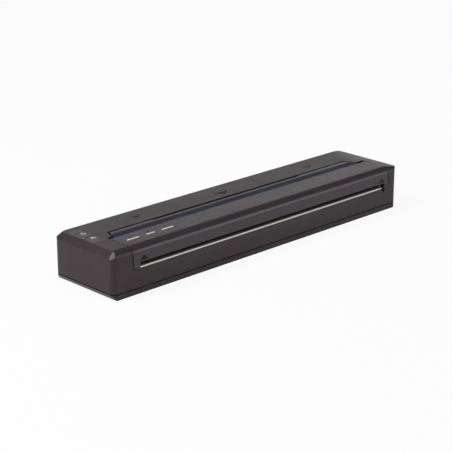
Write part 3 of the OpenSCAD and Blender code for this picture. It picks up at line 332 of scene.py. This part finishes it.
def ribbon(name):
    """Flat cable with its parallel conductors showing through."""
    film, conductor = (196, 190, 172), (150, 140, 118)
    wave_scale = 320
    gloss_size = 3 * MM
    conductor_depth = 0.03 * MM
    material, tree, shader = new_material(name)
    place = place_node(tree)
    wave = tree.nodes.new("ShaderNodeTexWave")
    wave.inputs["Scale"].default_value = wave_scale
    wave.bands_direction = "X"
    tree.links.new(place, wave.inputs["Vector"])
    surface(tree, shader, mixed(tree, wave.outputs["Fac"], linear(film), linear(conductor)),
            ranged(tree, noise(tree, place, gloss_size), 0.3, 0.45))
    bumped(tree, shader, wave.outputs["Fac"], conductor_depth, 0.5)
    return material


# Stage: a pale floor, soft lamps and the room that the gloss sees
def joined(tree, operation, first, second):
    """Maths on two sockets, or on a socket and a number."""
    node = tree.nodes.new("ShaderNodeMath")
    node.operation = operation
    for socket, value in zip(node.inputs, (first, second)):
        plug(tree, socket, value)
    return node.outputs[0]


def whiteness(tree, seen, sent_on):
    """Share of white for a ray from the camera, or one that gloss or glass sends on, else 0."""
    path = tree.nodes.new("ShaderNodeLightPath")
    gloss = joined(tree, "MAXIMUM", path.outputs["Is Glossy Ray"],
                   path.outputs["Is Transmission Ray"])
    return joined(tree, "MAXIMUM", joined(tree, "MULTIPLY", path.outputs["Is Camera Ray"], seen),
                  joined(tree, "MULTIPLY", gloss, sent_on))


# Brightness of the room by the sine of the height above the horizon
ROOM = ((0.0, 0.95), (0.25, 0.9), (0.3, 0.7), (0.335, 0.35), (0.375, 0.06), (0.8, 0.06),
        (0.92, 0.55), (1.0, 0.85))
# Band of that height over which the gloss stops seeing the white backdrop
BACKDROP = (0.29, 0.375)


def studio():
    """The room, white to the camera, and the plain view transform."""
    room = bpy.data.worlds.new("room")
    scene.world = room
    room.use_nodes = True
    tree = room.node_tree
    tree.nodes.clear()
    output = tree.nodes.new("ShaderNodeOutputWorld")
    background = tree.nodes.new("ShaderNodeBackground")
    coords = tree.nodes.new("ShaderNodeTexCoord")
    split = tree.nodes.new("ShaderNodeSeparateXYZ")
    ramp = tree.nodes.new("ShaderNodeValToRGB")
    stops = ramp.color_ramp.elements
    for stop, (position, value) in zip(stops, (ROOM[0], ROOM[-1])):
        stop.position = position
        stop.color = (value, value, value, 1)
    for position, value in ROOM[1:-1]:
        stops.new(position).color = (value, value, value, 1)
    tree.links.new(coords.outputs["Generated"], split.inputs["Vector"])
    tree.links.new(split.outputs["Z"], ramp.inputs["Fac"])
    low = ranged(tree, split.outputs["Z"], 1, 0, BACKDROP)
    tree.links.new(mixed(tree, whiteness(tree, 1, low), ramp.outputs["Color"], (1, 1, 1)),
                   background.inputs["Color"])
    tree.links.new(background.outputs["Background"], output.inputs["Surface"])
    scene.view_settings.view_transform = "Standard"


def lamp(name, place, target, size, power):
    """A soft rectangular lamp that the camera doesn't see."""
    data = bpy.data.lights.new(name, "AREA")
    data.shape = "RECTANGLE"
    data.size, data.size_y = size
    data.energy = power
    light = bpy.data.objects.new(name, data)
    scene.collection.objects.link(light)
    light.location = place
    light.rotation_euler = (Vector(target) - Vector(place)).to_track_quat("-Z", "Y").to_euler()
    light.visible_camera = False


def floor():
    """A pale floor that shows white, with the object's soft shadow left on it."""
    size = 6.0
    grey = (0.86, 0.86, 0.86, 1)
    white_seen, white_in_gloss = 0.92, 0.4
    mesh = bpy.data.meshes.new("floor")
    corners = [(-size, -size, 0), (size, -size, 0), (size, size, 0), (-size, size, 0)]
    mesh.from_pydata(corners, [], [(0, 1, 2, 3)])
    plane = bpy.data.objects.new("floor", mesh)
    scene.collection.objects.link(plane)
    material, tree, shader = new_material("floor")
    shader.inputs["Base Color"].default_value = grey
    shader.inputs["Roughness"].default_value = 0.9
    shader.inputs["Specular IOR Level"].default_value = 0.1
    white = tree.nodes.new("ShaderNodeEmission")
    white.inputs["Color"].default_value = (1, 1, 1, 1)
    white.inputs["Strength"].default_value = 1
    blend = tree.nodes.new("ShaderNodeMixShader")
    tree.links.new(whiteness(tree, white_seen, white_in_gloss), blend.inputs["Fac"])
    tree.links.new(shader.outputs["BSDF"], blend.inputs[1])
    tree.links.new(white.outputs["Emission"], blend.inputs[2])
    output = next(n for n in tree.nodes if n.type == "OUTPUT_MATERIAL")
    tree.links.new(blend.outputs["Shader"], output.inputs["Surface"])
    mesh.materials.append(material)


# Each material's maker and what it is given
LOOKS = {
    "casing": (moulded, dict(colour=(56, 45, 50), rough=0.38, level=0.26, warm=0.03)),
    "cover": (moulded, dict(colour=(56, 46, 52), rough=0.33, level=0.42, warm=0.02)),
    "guide_strip": (moulded, dict(colour=(21, 28, 57), rough=0.5, level=0.1, tint=0.06,
                                  grain=0.25)),
    "inner_plastic": (moulded, dict(colour=(50, 47, 49), rough=0.5, grain=0.3)),
    "lens": (smoked_lens, {}),
    "board": (circuit_board, {}),
    "rubber": (rubber, dict(colour=(46, 46, 48))),
    "steel": (metal, dict(colour=(186, 187, 190), rough=0.28)),
    "acetal": (moulded, dict(colour=(222, 221, 214), rough=0.4, grain=0.3, tint=0.03, depth=0.01)),
    "brass": (metal, dict(colour=(214, 182, 112))),
    "sheet_steel": (metal, dict(colour=(176, 179, 184), rough=0.38, lines=(1, 1, 1), size=0.006)),
    "tear_steel": (metal, dict(colour=(214, 210, 204), lines=(1, 25, 25), size=0.003)),
    "ceramic": (ceramic, dict(colour=(214, 208, 192))),
    "aluminium": (metal, dict(colour=(196, 198, 201), rough=0.34, lines=(1, 40, 40), size=0.006)),
    "spring_steel": (metal, dict(colour=(160, 161, 164))),
    "motor_can": (metal, dict(colour=(178, 179, 182), rough=0.32, lines=(30, 1, 1), size=0.006)),
    "battery_wrap": (wrap, dict(colour=(38, 46, 72))),
    "chip_plastic": (moulded, dict(colour=(36, 36, 37), rough=0.55, grain=0.2, tint=0.05)),
    "ribbon": (ribbon, {}),
    "key_plastic": (moulded, dict(colour=(76, 69, 72), rough=0.42, grain=0.22, depth=0.012,
                                  warm=0.02)),
    "dark_screw": (metal, dict(colour=(70, 70, 72), rough=0.35, lines=(1, 1, 1), size=0.003)),
    "foot_rubber": (rubber, dict(colour=(34, 34, 34))),
    # Darker than the casing: painted shade on the raised arrows behind the slot
    "mark_painted_shade": (moulded, dict(colour=(45, 36, 40), rough=0.55, level=0.15, grain=0.3)),
    # Pale grey: painted light standing in for the lit flat of the tear bar inside the shaded mouth
    "lip_painted_light": (moulded, dict(colour=(112, 104, 106), rough=0.42, grain=0.25, warm=0.02)),
    "glaze": (printed, dict(colour=(226, 220, 204), rough=0.16)),
    "heater_ink": (printed, dict(colour=(74, 60, 50), rough=0.3)),
    "white_ink": (printed, dict(colour=(228, 226, 226))),
    "pale_ink": (printed, dict(colour=(196, 190, 190))),
    # Dark ink for the printed triangles, also used as painted shade on the strips beside the cover's
    # seams
    "dark_ink_and_shade": (printed, dict(colour=(15, 12, 14), rough=0.62, level=0.25)),
}
MATERIALS = {name: make(name, **look) for name, (make, look) in LOOKS.items()}

# Pieces
SLOTS = {s["node"]: s["material_slot"] for s in frame["record"]["subparts"]}
BODY_OF = {n: body for body, nodes in frame["record"]["behaviour"]["bodies"].items() for n in nodes}


def add_piece(name, form, material, body, smooth=35):
    """Turn a bmesh into a piece that rides on a body, smooth but for its sharp edges."""
    mesh = bpy.data.meshes.new(name)
    bmesh.ops.recalc_face_normals(form, faces=form.faces)
    form.to_mesh(mesh)
    form.free()
    mesh.shade_smooth()
    mesh.set_sharp_from_angle(angle=math.radians(smooth))
    mesh.materials.append(MATERIALS[material])
    piece = bpy.data.objects.new(name, mesh)
    scene.collection.objects.link(piece)
    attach(piece, body)
    return piece


def cleaned_form(node, flat, **keeping):
    """A node's form without double points, its faces joined where they lie flat within an angle."""
    same_point = 0.002 * MM
    form = bmesh.new()
    form.from_mesh(frame["nodes"][node].data)
    bmesh.ops.remove_doubles(form, verts=form.verts, dist=same_point)
    bmesh.ops.dissolve_limit(form, angle_limit=math.radians(flat), verts=form.verts,
                             edges=form.edges, **keeping)
    return form


def soften(node, width=0.22, segments=2, angle=28):
    """A copy of a node's form with its sharp edges rounded, riding in its place on its body."""
    form = cleaned_form(node, 0.6, delimit={"NORMAL"})
    sharp = [e for e in form.edges
             if len(e.link_faces) == 2 and e.calc_face_angle(0) > math.radians(angle)]
    bmesh.ops.bevel(form, geom=sharp, offset=width * MM, offset_type="OFFSET", segments=segments,
                    profile=0.5, affect="EDGES", clamp_overlap=True, loop_slide=True,
                    face_strength_mode="ALL")
    bmesh.ops.triangulate(form, faces=[f for f in form.faces if len(f.verts) > 4])
    piece = add_piece(node + "_form", form, SLOTS[node], BODY_OF[node])
    weigh = piece.modifiers.new("even_shading", "WEIGHTED_NORMAL")
    weigh.keep_sharp = True
    weigh.use_face_influence = True
    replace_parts(piece, node)


def slab(form, outline, low, high, turn=None, inset=0.0):
    """Extrude a closed flat outline from low to high, its top drawn in by an inset, and turn it."""
    middle = sum(outline, Vector((0, 0))) / len(outline)
    bottom = [form.verts.new((p.x, p.y, low)) for p in outline]
    drawn = [p + (middle - p).normalized() * inset for p in outline]
    top = [form.verts.new((p.x, p.y, high)) for p in drawn]
    form.faces.new(reversed(bottom))
    form.faces.new(top)
    count = len(outline)
    for i in range(count):
        j = (i + 1) % count
        form.faces.new((bottom[i], bottom[j], top[j], top[i]))
    if turn is not None:
        bmesh.ops.transform(form, matrix=turn, verts=bottom + top)


def rounded(x, y, width, depth, radius, steps=4):
    """Outline of a rectangle round x, y with rounded corners."""
    points = []
    for quarter, (sx, sy) in enumerate(((1, 1), (-1, 1), (-1, -1), (1, -1))):
        cx = x + sx * (width / 2 - radius)
        cy = y + sy * (depth / 2 - radius)
        for i in range(steps + 1):
            angle = math.radians(90 * (quarter + i / steps))
            points.append(Vector((cx + radius * math.cos(angle), cy + radius * math.sin(angle))))
    return points


def arc_band(radius, width, start, end, steps=20):
    """Outline of a ring, open between two angles."""
    angles = [math.radians(start + (end - start) * i / steps) for i in range(steps + 1)]
    outer = [Vector((math.cos(a), math.sin(a))) * (radius + width / 2) for a in angles]
    inner = [Vector((math.cos(a), math.sin(a))) * (radius - width / 2) for a in reversed(angles)]
    return outer + inner


def outline_mm(*points):
    """Outline through points that are given in millimetres."""
    return [Vector(p) * MM for p in points]


def recessed_lenses(rim=0.16, depth=0.4):
    """The indicator lenses with a thin rim and their faces set back inside it."""
    node = "indicator_lenses"
    form = cleaned_form(node, 1)
    tops = [f for f in form.faces
            if f.normal.z > 0.9 and f.calc_center_median().z > TOP - 0.1 * MM]
    bmesh.ops.inset_individual(form, faces=tops, thickness=rim * MM)
    bmesh.ops.translate(form, verts=list({v for f in tops for v in f.verts}),
                        vec=(0, 0, -depth * MM))
    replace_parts(add_piece("lens_form", form, "lens", BODY_OF[node]), node)


def status_bars():
    """A plain white bar in front of each indicator lens."""
    lengths = (9.4, 6.5, 9.4)
    shifts = (-0.6, -0.35, 0.4)
    width, corner = 1.3 * MM, 0.4 * MM
    lens_to_bar = 2.9 * MM
    between_lenses = 4 * MM
    lens_lo, lens_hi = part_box("indicator_lenses")
    places = sorted({round(v.co.x, 4) for v in frame["nodes"]["indicator_lenses"].data.vertices})
    groups = [[places[0]]]
    for x in places[1:]:
        if x - groups[-1][-1] > between_lenses:
            groups.append([])
        groups[-1].append(x)
    y = (lens_lo.y + lens_hi.y) / 2 - lens_to_bar
    for i, (group, length, shift) in enumerate(zip(groups, lengths, shifts)):
        form = bmesh.new()
        x = (group[0] + group[-1]) / 2 + shift * MM
        slab(form, rounded(x, y, length * MM, width, corner), TOP - INK, TOP + INK)
        add_piece(f"status_bar_{i}", form, "white_ink", "cover")


def key_marks():
    """A power sign on the rear key and a feed arrow on the front one, in pale ink."""
    power_sign = (arc_band(1.35 * MM, 0.6 * MM, 120, 420),
                  outline_mm((-0.3, 0.4), (0.3, 0.4), (0.3, 2.1), (-0.3, 2.1)))
    feed_sign = (outline_mm((-1.7, 0.1), (1.7, 0.1), (0, 2.1)),
                 outline_mm((-1.7, -1.3), (1.7, -1.3), (1.7, -0.4), (-1.7, -0.4)))
    for node, shift, sign in (("power_key", (1.1, 1.6), power_sign),
                              ("feed_key", (0.7, 1.5), feed_sign)):
        lo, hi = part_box(node)
        centre = Vector(((lo.x + hi.x) / 2, (lo.y + hi.y) / 2)) + Vector(shift) * MM
        form = bmesh.new()
        for part in sign:
            slab(form, [centre + p for p in part], hi.z - INK, hi.z + INK)
        add_piece(node + "_mark", form, "pale_ink", node)


def opening_marks():
    """A dark triangle at each end of the cover's front, above the mouth."""
    width, height = 7 * MM, 3.1 * MM
    from_left, from_right = 2.6 * MM, 2.4 * MM
    mouth_top = tear_hi.z + 2.85 * MM
    low = mouth_top + 1.45 * MM
    for i, x in enumerate((tear_lo.x + from_left, tear_hi.x - from_right)):
        outline = [Vector((x - width / 2, 0)), Vector((x + width / 2, 0)), Vector((x, height))]
        form = bmesh.new()
        slab(form, outline, -INK, INK, Matrix.Translation((0, FRONT, low)) @ UPRIGHT)
        add_piece(f"opening_mark_{i}", form, "dark_ink_and_shade", "cover")


def seam_shade_strips():
    """Dark strips on the casing beside each end of the cover's front: painted shade that widens the
    seam's shadow.
    """
    width, corner = 0.4 * MM, 0.15 * MM
    from_cover = 0.6 * MM
    turn = Matrix.Translation((0, FRONT, 0)) @ UPRIGHT
    low, high = cover_lo.z + 2.2 * MM, TOP - 4.6 * MM
    for i, x in enumerate((cover_lo.x - from_cover, cover_hi.x + from_cover)):
        form = bmesh.new()
        slab(form, rounded(x, (low + high) / 2, width, high - low, corner), -INK, INK, turn)
        add_piece(f"seam_edge_{i}", form, "dark_ink_and_shade", "base")


def tear_lip():
    """Moulded lip on the flat of the tear bar, just behind its edge; its pale grey is painted light
    for the lit flat of the bar inside the mouth.
    """
    depth, corner = 2.5 * MM, 0.4 * MM
    behind_edge = 1.95 * MM
    end_room = 1.2 * MM
    rise, taper = 0.25 * MM, 0.12 * MM
    form = bmesh.new()
    outline = rounded((tear_lo.x + tear_hi.x) / 2, tear_lo.y + behind_edge,
                      tear_hi.x - tear_lo.x - end_room, depth, corner)
    slab(form, outline, tear_hi.z - INK, tear_hi.z + rise, inset=taper)
    add_piece("tear_bar_lip", form, "lip_painted_light", "base")


def heater_lines():
    """The glaze on the ceramic and the heater line on it, where the roller presses."""
    end_room = 5 * MM
    corner = 0.2 * MM
    verts = [v.co for v in frame["nodes"]["thermal_strip"].data.vertices]
    low = min(verts, key=lambda v: v.y)
    high = max((v for v in verts if v.x < head_lo.x + 0.1 * MM), key=lambda v: v.z)
    slope = Vector((0, high.y - low.y, high.z - low.z)).normalized()
    out = Vector((1, 0, 0)).cross(slope)
    roller_lo, roller_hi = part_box("platen_roller")
    axle = (roller_lo + roller_hi) / 2
    along = (axle - low).dot(slope)
    foot = Vector(((head_lo.x + head_hi.x) / 2, low.y, low.z)) + slope * along
    turn = Matrix.Translation(foot) @ Matrix((Vector((1, 0, 0)), slope, out)).transposed().to_4x4()
    length = head_hi.x - head_lo.x - end_room
    for name, width, rise in (("glaze", 2.2, 0.02), ("heater_ink", 0.5, 0.035)):
        form = bmesh.new()
        slab(form, rounded(0, 0, length, width * MM, corner), -INK, rise * MM, turn)
        add_piece(name + "_line", form, name, BODY_OF["thermal_strip"])


def slot_marks():
    """Three shallow raised arrows behind the paper slot, coloured darker than the casing as painted
    shade of their relief.
    """
    arrows = ((-73, 14, 8, 4), (-1.5, 11.5, 13, 6), (80, 12, 8, 4))
    sunk, rise, taper = 0.2 * MM, 0.1 * MM, 0.35 * MM
    for i, (x, y, width, depth) in enumerate(arrows):
        form = bmesh.new()
        outline = outline_mm((x - width / 2, y + depth / 2), (x, y - depth / 2),
                             (x + width / 2, y + depth / 2), (x, y + depth / 4))
        slab(form, outline, TOP - sunk, TOP + rise, inset=taper)
        add_piece(f"slot_mark_{i}", form, "mark_painted_shade", "base", smooth=10)


def coil(form, x, y, low, high, radius, wire, turns, sides=8, steps=16):
    """One compression spring with closed ends; wire is the wire's radius."""
    count = turns * steps
    up = Vector((0, 0, 1))
    rings = []
    for i in range(count + 1):
        share = i / count
        angle = math.radians(360 * turns * share)
        rise = min(max((share - 1 / turns) / (1 - 2 / turns), 0), 1)
        centre = Vector((x + radius * math.cos(angle), y + radius * math.sin(angle),
                         low + wire + (high - low - 2 * wire) * rise))
        out = Vector((math.cos(angle), math.sin(angle), 0))
        around = [2 * math.pi * k / sides for k in range(sides)]
        rings.append([form.verts.new(centre + wire * (out * math.cos(a) + up * math.sin(a)))
                      for a in around])
    for first, second in zip(rings, rings[1:]):
        for k in range(sides):
            j = (k + 1) % sides
            form.faces.new((first[k], first[j], second[j], second[k]))
    form.faces.new(rings[0])
    form.faces.new(list(reversed(rings[-1])))


def head_springs():
    """Coiled springs in place of the sleeves."""
    springs, turns = 4, 8
    wire = 0.25 * MM
    outer = (spring_hi.y - spring_lo.y) / 2
    first = spring_lo.x + outer
    step = (spring_hi.x - spring_lo.x - 2 * outer) / (springs - 1)
    y = (spring_lo.y + spring_hi.y) / 2
    form = bmesh.new()
    for i in range(springs):
        coil(form, first + i * step, y, spring_lo.z, spring_hi.z, outer - wire, wire, turns)
    piece = add_piece("spring_coils", form, "spring_steel", "base", smooth=60)
    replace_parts(piece, "head_springs")
    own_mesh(piece)


def socket_contacts():
    """Gold contacts on the tongue of the data port."""
    count, pitch = 8, 0.62 * MM
    length, width, corner = 3.2 * MM, 0.3 * MM, 0.08 * MM
    from_mouth = 3 * MM
    low, high = 0.34 * MM, 0.38 * MM
    middle = (port_lo + port_hi) / 2
    form = bmesh.new()
    for i in range(count):
        y = middle.y + (i - (count - 1) / 2) * pitch
        outline = rounded(port_hi.x - from_mouth, y, length, width, corner, 2)
        slab(form, outline, middle.z + low, middle.z + high)
    add_piece("port_contacts", form, "brass", "base")


def door_ridges():
    """Grip ridges beside the finger notch of the battery door."""
    count, pitch = 4, 1.3 * MM
    length, width, corner = 12 * MM, 0.5 * MM, 0.24 * MM
    from_edge = 3.4 * MM
    sunk, rise, taper = 0.1 * MM, 0.3 * MM, 0.05 * MM
    upside_down = Matrix.Rotation(math.radians(180), 4, "X")
    x = (door_lo.x + door_hi.x) / 2
    y = door_hi.y - from_edge
    form = bmesh.new()
    for i in range(count):
        outline = rounded(x, -(y - i * pitch), length, width, corner)
        slab(form, outline, -door_lo.z - sunk, -door_lo.z + rise, upside_down, taper)
    add_piece("door_ridges", form, "casing", "battery_door")


def dress_nodes():
    """Give every carried-over node its own material."""
    for name, node in frame["nodes"].items():
        node.data.materials.clear()
        node.data.materials.append(MATERIALS[SLOTS[name]])


# Nodes whose sharp edges are rounded
SOFTENED = ("upper_casing", "bottom_shell", "release_cover", "guide_strip", "key_panel",
            "power_key", "feed_key", "tear_bar", "battery_door", "feet")

camera()
studio()
floor()
lamp("key_light", place=(-0.45, 0.1, 1.5), target=(0, 0, 0), size=(1.3, 1.3), power=4)
lamp("fill_light", place=(0.9, -1.3, 0.5), target=(0, 0, 0.02), size=(1.0, 0.6), power=4.6)
lamp("corner_light", place=(-0.887, 0.336, 1.024), target=(-0.126, -0.0245, 0.028),
     size=(0.46, 0.46), power=11)
dress_nodes()
for name in SOFTENED:
    soften(name)
recessed_lenses()
status_bars()
key_marks()
opening_marks()
seam_shade_strips()
tear_lip()
heater_lines()
slot_marks()
head_springs()
socket_contacts()
door_ridges()
